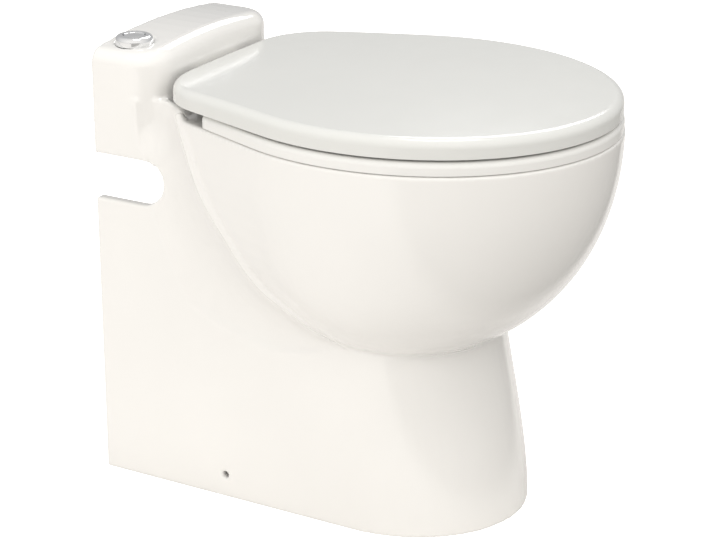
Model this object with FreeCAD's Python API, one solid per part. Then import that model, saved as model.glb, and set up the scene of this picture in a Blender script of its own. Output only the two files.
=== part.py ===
import FreeCAD, Part
import math
import os

# Macerator toilet. Millimetres, +Z up, front towards -Y, wall behind at +Y.
# The origin is on the floor, under the middle of the object's box.

Vector = FreeCAD.Vector
X_AXIS = Vector(1, 0, 0)
Y_AXIS = Vector(0, 1, 0)
Z_AXIS = Vector(0, 0, 1)
os.makedirs("parts", exist_ok=True)

# Fits and clearances, and how far a cutting shape reaches past a face
running_gap = 0.05
loose_gap = 0.3
seat_gap = 0.1
cut_over = 1.0

# Rim of the pan, which sets the object's depth with its distance from the wall
rim_z = 399.0
rim_half_width = 185.0
rim_half_length = 206.0
rim_center_to_wall = 304.0
rear_slope = 0.4
overall_depth = rim_half_length + rim_center_to_wall
rear_y = overall_depth / 2
rim_center_y = rear_y - rim_center_to_wall

# Ceramic pan: bowl, pedestal and casing
wall = 12.0
bowl_depth = 234.0
bowl_side_power = 2.55
bowl_front_power = 2.06
bowl_levels = (0.0, 0.13, 0.27, 0.41, 0.55, 0.68, 0.8, 0.9, 0.965)
casing_half_width = 115.0
flat_side_start = 7.0
flat_side_front_y = rim_center_y + flat_side_start
foot_half_length = 127.0
foot_height = 30.0
foot_draw = 2.0
pedestal_waist_z = 172.0
pedestal_waist_half_length = 96.0
pedestal_top_z = 300.0
pedestal_top_half_length = 76.0

# Hood above the casing
hood_depth = 75.0
hood_rise = 61.0
hood_foot_rise = 8.0
hood_crown = 8.5
ramp_run = 36.0
ramp_inner_x = 92.0
hood_corner = 38.0
hood_edge = 15.0
hood_top_z = rim_z + hood_rise
hood_front_y = rear_y - hood_depth

# Neck between bowl and casing. Each station: where the hollow leaves the flat side (distance from the
# wall, height from the rim), where it meets the bowl's edge (distance behind the rim's middle, height
# from the rim), how far that edge stands out, and how far the hollow dips inside the flat side.
neck_stations = (
    ((43, 38), (193, 38), 10, 14),
    ((52, 6), (191, 4), 11, 14),
    ((56, -34), (177, -30), 16.5, 10),
    ((63, -56), (168, -54), 18.5, 7),
    ((71, -102), (154, -78), 20.5, 6),
    ((76, -122), (134, -102), 22, 5.5),
    ((88, -149), (114, -131), 21, 5),
    ((108, -188), (93, -154), 18.5, 5),
    ((134, -207), (70, -166), 18, 4.5),
    ((180, -222), (47, -180), 16, 4),
    ((238, -222), (26, -192), 10, 2),
    ((290, -212), (9, -203), 3, 0.3),
)
valley_place = 0.35
neck_sink = 1.0
ridge_slope = 3.0
neck_reach = 12.0
neck_clear_x = 300.0
neck_back_gap = 13.0

# Side notches for the pipes, and side fixing holes
notch_low_z = 299.0
notch_high_z = 346.0
notch_depth = 79.0
notch_front_y = rear_y - notch_depth
fixing_hole_radius = 4.0
fixing_hole_setback = 148.0
fixing_hole_z = 24.0

# Bowl inside, trap and outlet
mouth_half_width = 130.0
mouth_half_length = 148.0
mouth_offset = 5.0
mouth_center_y = rim_center_y - mouth_offset
lip_height = 37.0
lip_z = rim_z - lip_height
sump_floor_z = 100.0
sump_back = 70.0
sump_rear_y = rim_center_y + sump_back
baffle = 12.0
trap_half_width = 35.0
trap_top_z = 222.0
underflow_height = 30.0
outlet_z = 187.0
outlet_radius = 32.0
outlet_wall = 10.0
outlet_stub = 24.0

shoulder_drop = 99.0
waist_drop = 159.0
funnel_rise = 90.0
well_rise = 50.0

# Levels of the bowl's inside: height, half width, front and rear reach from the rim's middle
bowl_sections = (
    (lip_z, 165.0, 182.0, 148.0),
    (rim_z - shoulder_drop, 152.0, 164.0, 134.0),
    (rim_z - waist_drop, 114.0, 122.0, 100.0),
    (sump_floor_z + funnel_rise, 66.0, 60.0, sump_back),
    (sump_floor_z + well_rise, 45.0, 10.0, sump_back),
    (sump_floor_z, 38.0, -6.0, sump_back),
)

# Flush nozzle boss in the rear bowl wall
nozzle_drop = 33.0
nozzle_z = rim_z - nozzle_drop
nozzle_boss_radius = 16.0
nozzle_boss_reach = 174.0
nozzle_boss_end_y = rim_center_y + nozzle_boss_reach
nozzle_radius = 8.0
nozzle_length = 20.0

# Seat, lid and hinge
hinge_setback = 19.0
hinge_height = 21.0
hinge_y = hood_front_y - hinge_setback
hinge_z = rim_z + hinge_height
hinge_x = 70.0
hinge_pin_radius = 4.0
hinge_pin_length = 52.0
barrel_radius = 6.0
barrel_length = 18.0
barrel_play = 1.0
post_width = 14.0
post_radius = 7.0
post_base_radius = 17.0
post_base_height = 4.5
post_cap = 1.0
hinge_hole_radius = 7.0
stud_radius = 4.0
stud_length = 50.0
washer_radius = 12.0
washer_height = 6.0
washer_clearance = 2.0
wing_nut_radius = 9.0
wing_nut_height = 10.0
wing_span = 30.0
wing_thickness = 3.0
wing_height = 7.0
seat_lift = 1.0
seat_thickness = 12.0
seat_setback = 48.0
seat_corner = 14.0
seat_inset = 1.0
seat_hole_half_width = 118.0
seat_hole_half_length = 138.0
seat_hole_offset = 10.0
seat_edge = 5.0
seat_arm_inset = 3.0
seat_low_z = rim_z + seat_lift
seat_high_z = seat_low_z + seat_thickness
seat_rear_y = hinge_y - seat_setback
seat_hole_center_y = rim_center_y - seat_hole_offset
lid_gap = 3.0
lid_thickness = 18.0
lid_crown = 4.0
lid_inset = 2.0
lid_slope = 0.33
lid_rear_gap = 5.5
lid_corner = 75.0
lid_edge = 9.0
lid_skirt = 8.0
lid_skin = 4.5
lid_slot_margin = 2.0
lid_low_z = seat_high_z + lid_gap
lid_edge_z = lid_low_z + lid_thickness
lid_skin_low_z = lid_edge_z - lid_skin
lid_rear_y = hood_front_y - lid_rear_gap
bumper_radius = 9.0
bumper_x = 105.0
bumper_front_reach = 113.0
bumper_rear_reach = 112.0

# Flush button
button_x = -79.0
button_setback = 28.0
button_y = rear_y - button_setback
button_land_drop = 7.5
button_land_z = hood_top_z - button_land_drop
button_land_margin = 1.0
button_hole_radius = 17.0
bezel_radius = 19.0
bezel_height = 9.5
bezel_tube_radius = 16.5
bezel_bore = 11.4
bezel_drop = 26.0
bezel_floor = 2.0
gasket_thickness = 1.0
button_radius = 11.0
button_cap_height = 8.0
button_recess = 1.0
button_edge = 1.5
button_dish_radius = 60.0
button_dish_depth = 0.7
button_stem_radius = 4.0
button_travel = 4.0
button_nut_radius = 20.0
button_nut_height = 8.0
switch_height = 22.0
switch_wall = 3.0
switch_play = 1.0
button_spring_wire = 0.8
button_spring_radius = 9.0
button_spring_turns = 5

# Macerator tank and cover
tank_half_width = 92.0
tank_setback = 122.0
tank_front_y = rear_y - tank_setback
tank_depth = 106.0
tank_floor_z = 12.0
tank_top_z = 240.0
tank_wall = 4.0
tank_corner = 12.0
flange_width = 6.0
flange_height = 6.0
inlet_spigot_length = 18.0
foot_radius = 10.0
foot_inset = 18.0
seal_height = 1.0
cover_height = 5.0
screw_radius = 2.0
screw_head_radius = 4.0
screw_head_height = 3.0
screw_length = 14.0
screw_outer_x = 78.0
screw_inner_x = 28.0

# Motor, shaft, blade and pump
shaft_x = 10.0
shaft_setback = 68.0
shaft_y = rear_y - shaft_setback
shaft_radius = 5.0
shaft_low_z = 30.0
motor_radius = 36.0
motor_height = 88.0
motor_wall = 3.0
rotor_radius = 20.0
rotor_lift = 6.0
air_gap = 0.5
stack_height = 50.0
bearing_radius = 11.0
bearing_height = 8.0
seal_ring_height = 7.0
bearing_boss_radius = 15.0
basket_radius = 45.0
basket_wall = 2.5
basket_low_z = 104.0
basket_height = 56.0
basket_hole_radius = 5.0
basket_hole_rows = 3
basket_holes_per_row = 12
basket_first_row = 13.0
basket_row_pitch = 15.0
basket_eye_gap = 3.0
basket_posts = 3
basket_post_radius = 3.0
basket_post_sink = 2.0
blade_radius = 39.0
blade_lift = 6.0
blade_hub_radius = 9.0
blade_hub_height = 8.0
blade_thickness = 3.0
blade_tip_height = 9.0
blade_width = 14.0
impeller_radius = 29.0
impeller_height = 12.0
impeller_lift = 6.0
impeller_disc_height = 3.0
impeller_vanes = 6
vane_thickness = 2.4
pump_radius = 38.0
pump_wall = 5.0
pump_height = 34.0
pump_eye_radius = 15.0
pump_outlet_radius = 11.0
pump_outlet_bore = 8.0

# Discharge line
riser_x = 74.0
riser_setback = 56.0
riser_y = rear_y - riser_setback
riser_radius = 13.0
riser_bore = 10.0
valve_lift = 6.0
valve_radius = 20.5
valve_bore = 17.5
valve_height = 44.0
valve_socket_depth = 4.0
valve_seat_thickness = 4.0
flap_radius = 12.0
flap_thickness = 2.5
flap_hinge_gap = 1.0
flap_pin_radius = 1.5
flap_pin_length = 29.0
flap_knuckle_radius = 3.0
flap_knuckle_length = 10.0
elbow_radius = 22.0
elbow_flange_height = 4.0
spigot_radius = 16.0
spigot_bore = 13.0
spigot_end_x = 114.0

# Rubber sleeve between pan and tank
sleeve_space = 6.0
sleeve_wall = 4.0
sleeve_grip = 12.0
clamp_width = 8.0
clamp_thickness = 1.5
outlet_end_y = tank_front_y - inlet_spigot_length - sleeve_space

# Controls on the cover
box_low_x = -92.0
box_width = 58.0
box_setback = 120.0
box_low_y = rear_y - box_setback
box_depth = 38.0
box_height = 78.0
box_wall = 2.5
board_thickness = 1.6
board_clearance = 3.0
gland_radius = 8.0
gland_thread_step = 2.0
gland_bore = 3.5
gland_length = 16.0
capacitor_x = 72.0
capacitor_setback = 100.0
capacitor_y = rear_y - capacitor_setback
capacitor_radius = 15.0
capacitor_height = 56.0
capacitor_edge = 2.0
pressure_x = -60.0
pressure_setback = 60.0
pressure_y = rear_y - pressure_setback
pressure_tube_radius = 6.0
pressure_tube_bore = 4.5
pressure_tube_low_z = 40.0
pressure_switch_radius = 18.0
pressure_switch_height = 14.0
pressure_switch_edge = 3.0

# Solenoid valve and flush pipe
inlet_setback = 18.0
inlet_y = rear_y - inlet_setback
inlet_z = 322.0
inlet_radius = 13.2
inlet_bore = 9.0
inlet_end_x = 114.0
solenoid_low_x = 52.0
solenoid_length = 32.0
solenoid_size = 26.0
valve_seat_wall = 4.0
coil_radius = 14.0
coil_length = 32.0
coil_end = 2.0
guide_radius = 6.0
guide_depth = 6.0
plunger_radius = 5.0
plunger_length = 29.0
plunger_nose = 5.0
plunger_spring_wire = 0.5
plunger_spring_radius = 4.0
plunger_spring_turns = 4
filter_length = 14.0
filter_wall = 1.9
filter_recess = 1.0
bracket_thickness = 3.0
bracket_width = 18.0
bracket_foot = 12.0
bracket_inset = 2.0
outlet_x = 62.0
pipe_radius = 8.0
pipe_bore = 5.6
pipe_bend = 18.0
pipe_end_run = 14.0
barb_length = 10.0
barb_bore = 3.6
clip_offset = 2.0
clip_width = 7.0
clip_thickness = 1.2
nozzle_flange_radius = 14.0
nozzle_flange_height = 4.0


def save(shape, name):
    """Write one named piece."""
    shape.exportStep("parts/" + name + ".step")


def block(low, high):
    """Box between two corners."""
    size = Vector(*high) - Vector(*low)
    return Part.makeBox(size.x, size.y, size.z, Vector(*low))


def rounded_block(half_width, front_y, back_y, corner, low_z, high_z):
    """Upright block with its two front corners rounded."""
    box = block((-half_width, front_y, low_z), (half_width, back_y, high_z))
    upright = [edge for edge in box.Edges
               if edge.BoundBox.ZLength > (high_z - low_z) / 2 and edge.BoundBox.YMax < back_y - corner]
    return box.makeFillet(corner, upright)


def rod(radius, start, axis, length):
    """Plain cylinder from a start point along an axis."""
    return Part.makeCylinder(radius, length, Vector(*start), axis)


def tube(outer, inner, start, axis, length):
    """Hollow cylinder."""
    return rod(outer, start, axis, length).cut(rod(inner, start, axis, length))


def mirrored(shape):
    """The same shape on the other side of the middle plane."""
    return shape.mirror(Vector(0, 0, 0), X_AXIS)


def both_sides(shape):
    """A piece and its mirror image, as separate solids of one node."""
    return Part.makeCompound([shape, mirrored(shape)])


def ellipse_arc(half_width, half_length, center_y, z, past):
    """Elliptical arc round the front, reaching the angle past the widest points at both ends."""
    center = Vector(0, center_y, z)
    front = Vector(0, center_y - half_length, z)
    side = Vector(half_width, center_y, z)
    if half_length > half_width:
        curve = Part.Ellipse(front, side, center)
        return Part.ArcOfEllipse(curve, -math.pi / 2 - past, math.pi / 2 + past).toShape()
    curve = Part.Ellipse(side, Vector(0, center_y + half_length, z), center)
    return Part.ArcOfEllipse(curve, -math.pi - past, past).toShape()


def egg_points(half_width, half_length, center_y, slope, end_y):
    """Angle and point where straight tapering sides leave the ellipse, and their half width at end_y."""
    past = math.atan(slope * half_length / half_width)
    leave_x = half_width * math.cos(past)
    leave_y = center_y + half_length * math.sin(past)
    return past, leave_x, leave_y, leave_x - slope * (end_y - leave_y)


def egg_wire(half_width, half_length, center_y, slope, end_y, z):
    """Outline with an elliptical front, straight tapering sides and a straight back."""
    past, leave_x, leave_y, end_x = egg_points(half_width, half_length, center_y, slope, end_y)
    right = Vector(leave_x, leave_y, z)
    left = Vector(-leave_x, leave_y, z)
    back_right = Vector(end_x, end_y, z)
    back_left = Vector(-end_x, end_y, z)
    return Part.Wire([
        ellipse_arc(half_width, half_length, center_y, z, past),
        Part.makeLine(right, back_right),
        Part.makeLine(back_right, back_left),
        Part.makeLine(back_left, left),
    ])


def rounded_egg(half_width, half_length, center_y, slope, end_y, corner, z):
    """Egg outline whose two back corners are rounded."""
    past, leave_x, leave_y, end_x = egg_points(half_width, half_length, center_y, slope, end_y)
    run = Vector(-slope, 1, 0).normalize()
    reach = corner * math.tan((math.pi / 2 - math.atan(slope)) / 2)
    sharp = Vector(end_x, end_y, z)
    start = sharp - run * reach
    end = sharp - X_AXIS * reach
    center = start + Vector(-run.y, run.x, 0) * corner
    middle = center + (sharp - center).normalize() * corner
    flip = [Vector(-point.x, point.y, point.z) for point in (start, middle, end)]
    return Part.Wire([
        ellipse_arc(half_width, half_length, center_y, z, past),
        Part.makeLine(Vector(leave_x, leave_y, z), start),
        Part.Arc(start, middle, end).toShape(),
        Part.makeLine(end, flip[2]),
        Part.Arc(flip[2], flip[1], flip[0]).toShape(),
        Part.makeLine(flip[0], Vector(-leave_x, leave_y, z)),
    ])


def ellipse_wire(half_width, half_length, center_y, z):
    """Whole ellipse in a level plane, as a front half and a rear half."""
    front = ellipse_arc(half_width, half_length, center_y, z, 0)
    rear = front.copy()
    rear.rotate(Vector(0, center_y, z), Z_AXIS, 180)
    return Part.Wire([front, rear])


def prism(wire, height):
    """Upright solid over a flat outline."""
    return Part.Face(wire).extrude(Z_AXIS * height)


def soft_edges(solid, z, radius):
    """Round the edges that lie level at one height."""
    flat = [edge for edge in solid.Edges
            if abs(edge.BoundBox.ZMin - z) < 0.01 and abs(edge.BoundBox.ZMax - z) < 0.01]
    return solid.makeFillet(radius, flat)


# Ceramic pan


def bowl_form():
    """Outer form of the bowl: egg outlines that shrink towards the bottom like a deep dish."""
    back_reach = hood_front_y + neck_back_gap - rim_center_y
    wires = []
    for level in bowl_levels:
        side = (1 - level ** bowl_side_power) ** (1 / bowl_side_power)
        front = (1 - level ** bowl_front_power) ** (1 / bowl_front_power)
        wires.append(egg_wire(rim_half_width * side, rim_half_length * front, rim_center_y, rear_slope,
                              rim_center_y + back_reach * side, rim_z - bowl_depth * level))
    return Part.makeLoft(wires, True, False)


def neck_ends(leave, meet, rise):
    """Where one line across the neck leaves the flat side and where it meets the bowl's edge."""
    start = Vector(-casing_half_width, rear_y - leave[0], rim_z + leave[1])
    ridge = Vector(-casing_half_width - rise, rim_center_y + meet[0], rim_z + meet[1])
    return start, ridge


def neck_body():
    """Full body under the left neck, straight across from the flat side to the bowl's edge."""
    wires = []
    for leave, meet, rise, dip in neck_stations:
        start, ridge = [point + X_AXIS * neck_sink for point in neck_ends(leave, meet, rise)]
        inner = [Vector(0, point.y, point.z) for point in (ridge, start)]
        wires.append(Part.makePolygon([start, ridge] + inner + [start]))
    below_rim = block((-rim_half_width, rim_center_y - rim_half_length, 0), (0, rear_y, rim_z))
    return Part.makeLoft(wires, True, False).common(below_rim)


def neck_cutter():
    """Space outside the hollow neck on the left, from the flat side across to the bowl's edge."""
    wires = []
    for leave, meet, rise, dip in neck_stations:
        start, ridge = neck_ends(leave, meet, rise)
        across = Vector(0, ridge.y - start.y, ridge.z - start.z)
        valley = start + across * valley_place + X_AXIS * dip
        end = ridge + (across.normalize() - X_AXIS * ridge_slope) * neck_reach
        far_end = Vector(-neck_clear_x, end.y, end.z)
        far_start = Vector(-neck_clear_x, start.y, start.z)
        wires.append(Part.Wire([
            Part.Arc(start, valley, ridge).toShape(),
            Part.makeLine(ridge, end),
            Part.makeLine(end, far_end),
            Part.makeLine(far_end, far_start),
            Part.makeLine(far_start, start),
        ]))
    return Part.makeLoft(wires, True, False)


def pedestal_front(shrink, low_z):
    """Rounded front of the pedestal, drawn in towards the top."""
    sizes = (
        (low_z, foot_half_length),
        (foot_height, foot_half_length - foot_draw),
        (pedestal_waist_z, pedestal_waist_half_length),
        (pedestal_top_z, pedestal_top_half_length),
    )
    wires = []
    for z, half_length in sizes:
        arc = ellipse_arc(casing_half_width - shrink, half_length - shrink, flat_side_front_y, z, 0)
        ends = [arc.Vertexes[-1].Point, arc.Vertexes[0].Point]
        wires.append(Part.Wire([arc, Part.makeLine(*ends)]))
    return Part.makeLoft(wires, True, False)


def hood_form():
    """Hood with rounded front corners, a crowned top and a soft upper edge."""
    low_z = rim_z + hood_foot_rise
    plan = rounded_block(casing_half_width, hood_front_y, rear_y, hood_corner, low_z, hood_top_z)
    reach_x = casing_half_width + wall
    edge_z = hood_top_z - hood_crown * (reach_x / casing_half_width) ** 2
    left = Vector(-reach_x, hood_front_y, edge_z)
    right = Vector(reach_x, hood_front_y, edge_z)
    low_right = Vector(reach_x, hood_front_y, low_z)
    low_left = Vector(-reach_x, hood_front_y, low_z)
    section = Part.Wire([
        Part.Arc(left, Vector(0, hood_front_y, hood_top_z), right).toShape(),
        Part.makeLine(right, low_right),
        Part.makeLine(low_right, low_left),
        Part.makeLine(low_left, left),
    ])
    form = plan.common(Part.Face(section).extrude(Y_AXIS * hood_depth)).removeSplitter()
    top = max(form.Faces, key=lambda face: face.CenterOfMass.z)
    soft = [edge for edge in top.Edges if edge.BoundBox.YMin < rear_y - cut_over]
    return form.makeFillet(hood_edge, soft)


def bowl_inside(grow, drop):
    """Inside of the bowl, or with grow and drop the outer skin of its wall."""
    wires = []
    for z, half_width, front_reach, rear_reach in bowl_sections:
        low_z = z - drop if z == sump_floor_z else z
        half_length = (front_reach + rear_reach) / 2 + grow
        center_y = rim_center_y + (rear_reach - front_reach) / 2
        wires.append(ellipse_wire(half_width + grow, half_length, center_y, low_z))
    return Part.makeLoft(wires, True, False)


ceiling_z = rim_z - wall
inner_half = casing_half_width - wall
deck_room_half = hinge_x + washer_radius + washer_clearance
trap_rear_y = outlet_end_y - outlet_stub
trap_front_y = sump_rear_y + baffle


def pan_outside():
    """Bowl, neck, pedestal, casing and hood as one full body."""
    neck = neck_body()
    cutter = neck_cutter()
    casing = block((-casing_half_width, flat_side_front_y, 0), (casing_half_width, rear_y, rim_z))
    column = block((-casing_half_width, hood_front_y, notch_high_z),
                   (casing_half_width, rear_y, rim_z + hood_foot_rise))
    slope = Part.makePolygon([
        Vector(-rim_half_width, hood_front_y - ramp_run, rim_z),
        Vector(-rim_half_width, hood_front_y, rim_z + hood_foot_rise),
        Vector(-rim_half_width, hood_front_y, rim_z - wall),
        Vector(-rim_half_width, hood_front_y - ramp_run, rim_z),
    ])
    ramp = Part.Face(slope).extrude(X_AXIS * (rim_half_width - ramp_inner_x))
    full = casing.fuse([bowl_form(), column, neck, mirrored(neck), ramp, mirrored(ramp)])
    necked = full.cut([cutter, mirrored(cutter)])
    return necked.fuse([pedestal_front(0, 0), hood_form()]).removeSplitter()


def pan_room():
    """Space behind and below the bowl, round the trap, its outlet and the nozzle boss."""
    room = block((-inner_half, flat_side_front_y, -cut_over), (inner_half, rear_y + cut_over, notch_high_z))
    under_deck = block((-deck_room_half, flat_side_front_y, notch_high_z - cut_over),
                       (deck_room_half, hood_front_y + 2 * wall, ceiling_z))
    under_hood = rounded_block(inner_half, hood_front_y + wall, rear_y + cut_over, hood_corner - wall,
                               notch_high_z - cut_over, button_land_z - wall)
    room = room.fuse([pedestal_front(wall, -cut_over), under_deck, under_hood])
    trap_shell = block((-trap_half_width - wall, rim_center_y, sump_floor_z - wall),
                       (trap_half_width + wall, trap_rear_y + wall, trap_top_z + wall))
    outlet_shell = rod(outlet_radius + outlet_wall, (0, trap_rear_y, outlet_z), Y_AXIS, outlet_stub)
    boss = rod(nozzle_boss_radius, (0, rim_center_y, nozzle_z), Y_AXIS, nozzle_boss_reach)
    lip_outline = ellipse_wire(mouth_half_width + wall, mouth_half_length + wall, mouth_center_y,
                               lip_z - wall)
    lip = prism(lip_outline, lip_height + wall)
    return room.cut(bowl_inside(wall, wall).fuse([trap_shell, outlet_shell, boss, lip]))


def pan_waterway():
    """Bowl, mouth, trap, outlet and nozzle hole."""
    mouth = prism(ellipse_wire(mouth_half_width, mouth_half_length, mouth_center_y, lip_z - cut_over),
                  lip_height + 2 * cut_over)
    shaft = block((-trap_half_width, trap_front_y, sump_floor_z), (trap_half_width, trap_rear_y, trap_top_z))
    underflow = block((-trap_half_width, sump_rear_y - trap_half_width / 2, sump_floor_z),
                      (trap_half_width, trap_front_y, sump_floor_z + underflow_height))
    outlet = rod(outlet_radius, (0, trap_rear_y - cut_over, outlet_z), Y_AXIS, outlet_stub + 2 * cut_over)
    nozzle_hole = rod(nozzle_radius + loose_gap, (0, rim_center_y, nozzle_z), Y_AXIS,
                      nozzle_boss_reach + cut_over)
    return [bowl_inside(0, 0), mouth, shaft, underflow, outlet, nozzle_hole]


def pan_holes():
    """Side notches, side fixings, hinge holes and the button's seat."""
    side_x = casing_half_width + cut_over
    notch_radius = (notch_high_z - notch_low_z) / 2
    notch_y = notch_front_y + notch_radius
    notch = block((-side_x, notch_y, notch_low_z), (side_x, rear_y + cut_over, notch_high_z))
    notch = notch.fuse(rod(notch_radius, (-side_x, notch_y, notch_low_z + notch_radius), X_AXIS, 2 * side_x))
    fixing_y = rear_y - fixing_hole_setback
    fixing = rod(fixing_hole_radius, (-side_x, fixing_y, fixing_hole_z), X_AXIS, 2 * side_x)
    through = wall + 2 * cut_over
    hinge_hole = rod(hinge_hole_radius, (hinge_x, hinge_y, ceiling_z - cut_over), Z_AXIS, through)
    button_hole = rod(button_hole_radius, (button_x, button_y, button_land_z - wall - cut_over), Z_AXIS,
                      through)
    button_land = rod(bezel_radius + button_land_margin, (button_x, button_y, button_land_z), Z_AXIS,
                      button_land_drop + cut_over)
    return [notch, fixing, hinge_hole, mirrored(hinge_hole), button_hole, button_land]


save(pan_outside().cut([pan_room()] + pan_waterway() + pan_holes()), "ceramic_pan")


# Seat and lid

seat_barrel_x = hinge_x - post_width / 2 - barrel_play - barrel_length
lid_barrel_x = hinge_x + post_width / 2 + barrel_play


def hinge_arm(low_x, root_y, root_low_z, root_high_z):
    """Arm that rises from a root to a barrel round the hinge pin."""
    drop = barrel_radius * math.sqrt(0.75)
    profile = Part.makePolygon([
        Vector(low_x, root_y, root_low_z),
        Vector(low_x, root_y, root_high_z),
        Vector(low_x, hinge_y - barrel_radius / 2, hinge_z + drop),
        Vector(low_x, hinge_y + barrel_radius / 2, hinge_z - drop),
        Vector(low_x, root_y, root_low_z),
    ])
    arm = Part.Face(profile).extrude(X_AXIS * barrel_length)
    return arm.fuse(rod(barrel_radius, (low_x, hinge_y, hinge_z), X_AXIS, barrel_length))


def pin_bore(low_x):
    """Running bore for the hinge pin through one barrel."""
    return rod(hinge_pin_radius + running_gap, (low_x - cut_over, hinge_y, hinge_z), X_AXIS,
               barrel_length + 2 * cut_over)


def seat_ring():
    """Seat ring with a soft upper edge and two hinge arms behind."""
    outline = rounded_egg(rim_half_width - seat_inset, rim_half_length - seat_inset, rim_center_y,
                          rear_slope, seat_rear_y, seat_corner, seat_low_z)
    hole = ellipse_wire(seat_hole_half_width, seat_hole_half_length, seat_hole_center_y, seat_low_z)
    ring = prism(outline, seat_thickness).cut(prism(hole, seat_thickness))
    ring = soft_edges(ring, seat_high_z, seat_edge)
    arm = hinge_arm(seat_barrel_x, seat_rear_y - seat_corner, seat_low_z + seat_arm_inset,
                    seat_high_z - seat_arm_inset)
    bore = pin_bore(seat_barrel_x)
    return ring.fuse([arm, mirrored(arm)]).cut([bore, mirrored(bore)]).removeSplitter()


def lid_outline(inset, z):
    """Lid outline, or its inside when drawn in by the skirt."""
    draw = lid_inset + inset
    return rounded_egg(rim_half_width - draw, rim_half_length - draw, rim_center_y, lid_slope,
                       lid_rear_y - inset, lid_corner - inset, z)


def toilet_lid():
    """Crowned lid with a rounded edge, hollow below, and hinge barrels behind."""
    span = rim_half_length - lid_inset
    dome_radius = (span ** 2 + lid_crown ** 2) / (2 * lid_crown)
    blank = prism(lid_outline(0, lid_low_z), lid_thickness + lid_crown)
    dome = Part.makeSphere(dome_radius, Vector(0, rim_center_y, lid_edge_z + lid_crown - dome_radius))
    lid = blank.common(dome)
    top = max(lid.Faces, key=lambda face: face.CenterOfMass.z)
    lid = lid.makeFillet(lid_edge, top.Edges)
    lid = lid.cut(prism(lid_outline(lid_skirt, lid_low_z), lid_skin_low_z - lid_low_z))
    slot = block((seat_barrel_x - lid_slot_margin, hinge_y - 2 * barrel_radius, lid_low_z - cut_over),
                 (lid_barrel_x + barrel_length + lid_slot_margin, lid_rear_y + cut_over, lid_skin_low_z))
    barrel = rod(barrel_radius, (lid_barrel_x, hinge_y, hinge_z), X_AXIS, barrel_length)
    web = block((lid_barrel_x, hinge_y - barrel_radius, hinge_z),
                (lid_barrel_x + barrel_length, hinge_y + barrel_radius, lid_skin_low_z))
    bore = pin_bore(lid_barrel_x)
    lid = lid.cut([slot, mirrored(slot)]).fuse([barrel, web, mirrored(barrel), mirrored(web)])
    return lid.cut([bore, mirrored(bore)]).removeSplitter()


def bumpers(low_z, high_z):
    """Four soft buttons under a plate, two on each side."""
    pads = []
    for y in (rim_center_y - bumper_front_reach, rim_center_y + bumper_rear_reach):
        pad = rod(bumper_radius, (bumper_x, y, low_z), Z_AXIS, high_z - low_z)
        pads += [pad, mirrored(pad)]
    return Part.makeCompound(pads)


save(seat_ring(), "seat_ring")
save(toilet_lid(), "toilet_lid")
save(bumpers(rim_z, seat_low_z), "seat_bumpers")
save(bumpers(seat_high_z, lid_skin_low_z), "lid_bumpers")


# Hinge posts, pins and their fixings through the deck

post_half = post_width / 2
stud_top_z = rim_z + post_base_height - post_cap
stud_low_z = stud_top_z - stud_length
washer_low_z = ceiling_z - washer_height
stud_hole_radius = stud_radius + running_gap


def hinge_post():
    """Post on a round base, with a hole for the pin and a blind hole for the stud."""
    post = rod(post_base_radius, (hinge_x, hinge_y, rim_z), Z_AXIS, post_base_height)
    upright = block((hinge_x - post_half, hinge_y - barrel_radius, rim_z),
                    (hinge_x + post_half, hinge_y + barrel_radius, hinge_z))
    eye = rod(post_radius, (hinge_x - post_half, hinge_y, hinge_z), X_AXIS, post_width)
    pin_hole = rod(hinge_pin_radius + running_gap, (hinge_x - post_width, hinge_y, hinge_z), X_AXIS,
                   2 * post_width)
    stud_hole = rod(stud_hole_radius, (hinge_x, hinge_y, rim_z - cut_over), Z_AXIS,
                    stud_top_z - rim_z + cut_over)
    return post.fuse([upright, eye]).cut([pin_hole, stud_hole]).removeSplitter()


def wing_nut():
    """Round nut with two wings."""
    low_z = washer_low_z - wing_nut_height
    nut = rod(wing_nut_radius, (hinge_x, hinge_y, low_z), Z_AXIS, wing_nut_height)
    wings = block((hinge_x - wing_thickness / 2, hinge_y - wing_span / 2, low_z),
                  (hinge_x + wing_thickness / 2, hinge_y + wing_span / 2, low_z + wing_height))
    thread = rod(stud_hole_radius, (hinge_x, hinge_y, low_z - cut_over), Z_AXIS,
                 wing_nut_height + 2 * cut_over)
    return nut.fuse(wings).cut(thread).removeSplitter()


hinge_pin = rod(hinge_pin_radius, (hinge_x - hinge_pin_length / 2, hinge_y, hinge_z), X_AXIS,
                hinge_pin_length)
hinge_stud = rod(stud_radius, (hinge_x, hinge_y, stud_low_z), Z_AXIS, stud_length)
hinge_washer = tube(washer_radius, stud_hole_radius, (hinge_x, hinge_y, washer_low_z), Z_AXIS, washer_height)
save(both_sides(hinge_post()), "hinge_posts")
save(both_sides(hinge_pin), "hinge_pins")
save(both_sides(hinge_stud), "hinge_studs")
save(both_sides(hinge_washer), "hinge_washers")
save(both_sides(wing_nut()), "hinge_wing_nuts")


# Flush button in the hood

bezel_low_z = button_land_z - bezel_drop
button_floor_z = bezel_low_z + bezel_floor
flange_low_z = button_land_z + gasket_thickness
bezel_top_z = flange_low_z + bezel_height
cap_top_z = bezel_top_z - button_recess
cap_low_z = cap_top_z - button_cap_height
switch_low_z = bezel_low_z - switch_height
stem_low_z = bezel_low_z - button_travel
button_at = (button_x, button_y)


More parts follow.
